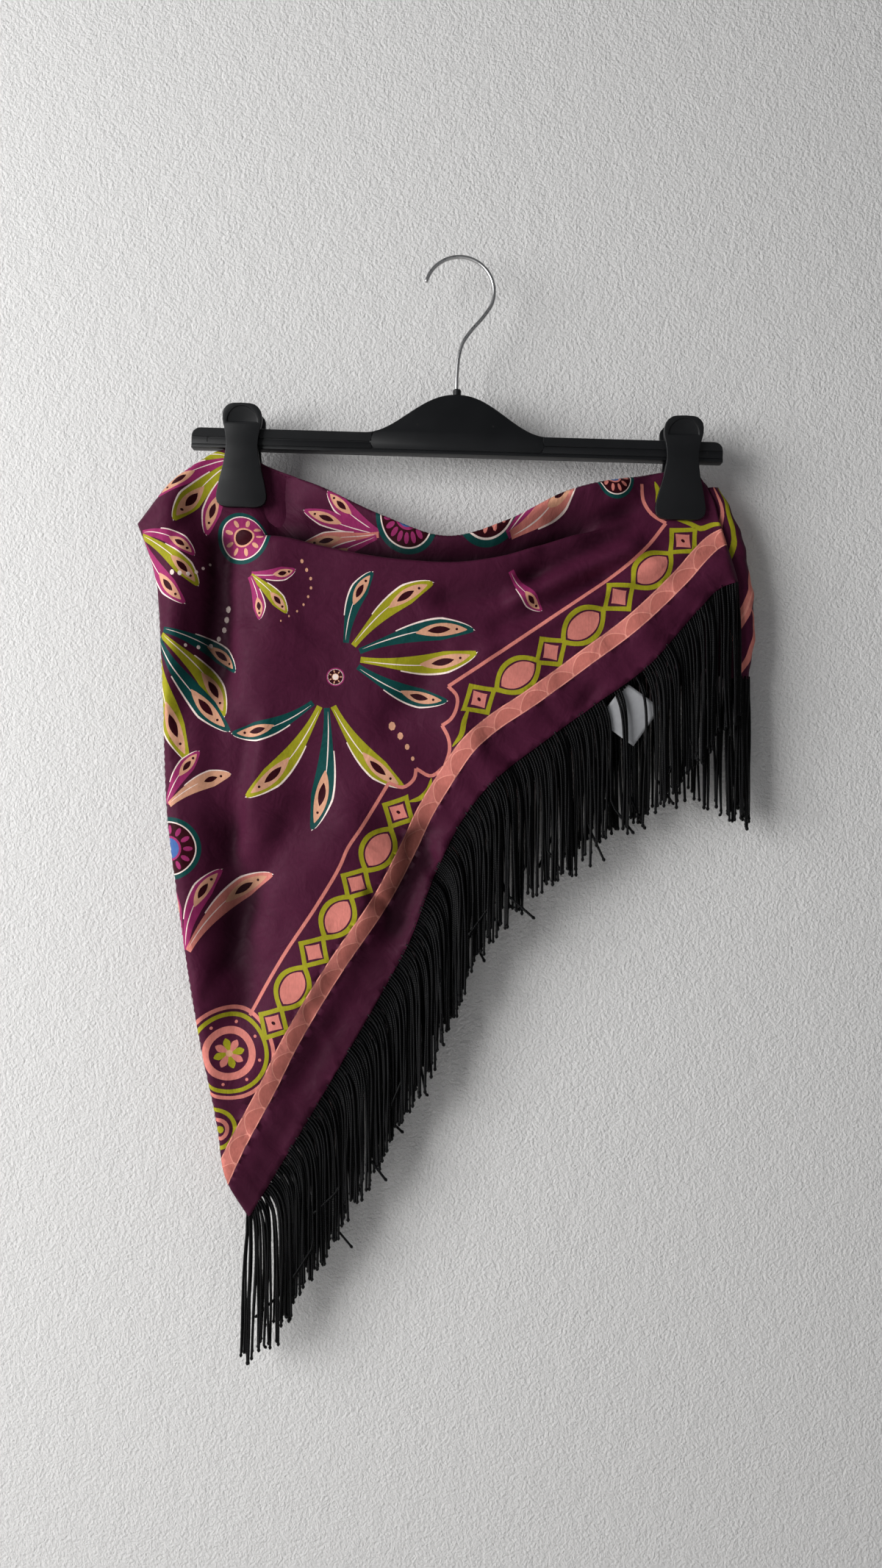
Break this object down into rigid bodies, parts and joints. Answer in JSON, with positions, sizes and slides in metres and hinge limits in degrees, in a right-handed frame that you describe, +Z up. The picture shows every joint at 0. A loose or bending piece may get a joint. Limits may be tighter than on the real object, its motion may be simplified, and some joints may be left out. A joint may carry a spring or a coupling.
{
  "type": "fringed scarf on a clip hanger",
  "caption": "Square printed satin scarf with long cord fringe on its edges, folded over and hung slantwise from a plastic clip hanger with a wire hook.",
  "frame": {"origin": "inside top of the hook's bend, the point that rests on a rail or nail", "axes": "+Z up, +X to the right seen from the front, +Y to the back, away from the viewer"},
  "size_m": [0.4207, 0.0299, 0.7518],
  "materials": {
    "satin": "printed satin, soft sheen",
    "fringe_cord": "black chainette cord, slight sheen",
    "label_tape": "plain woven tape",
    "hanger_plastic": "black moulded plastic, fine grain",
    "hook_wire": "bright plated wire",
    "spring_steel": "leaf spring steel"
  },
  "bodies": {
    "root": {"front_panel": "satin", "back_panel": "satin", "corner_fold": "satin", "fringe_front": "fringe_cord", "fringe_back": "fringe_cord", "fringe_corner": "fringe_cord", "care_label": "label_tape", "hanger_bar": "hanger_plastic", "clip_left_front": "hanger_plastic", "clip_left_back": "hanger_plastic", "clip_left_spring": "spring_steel", "clip_right_front": "hanger_plastic", "clip_right_back": "hanger_plastic", "clip_right_spring": "spring_steel", "hook_collar": "hanger_plastic", "hook": "hook_wire"}
  },
  "joints": []
}
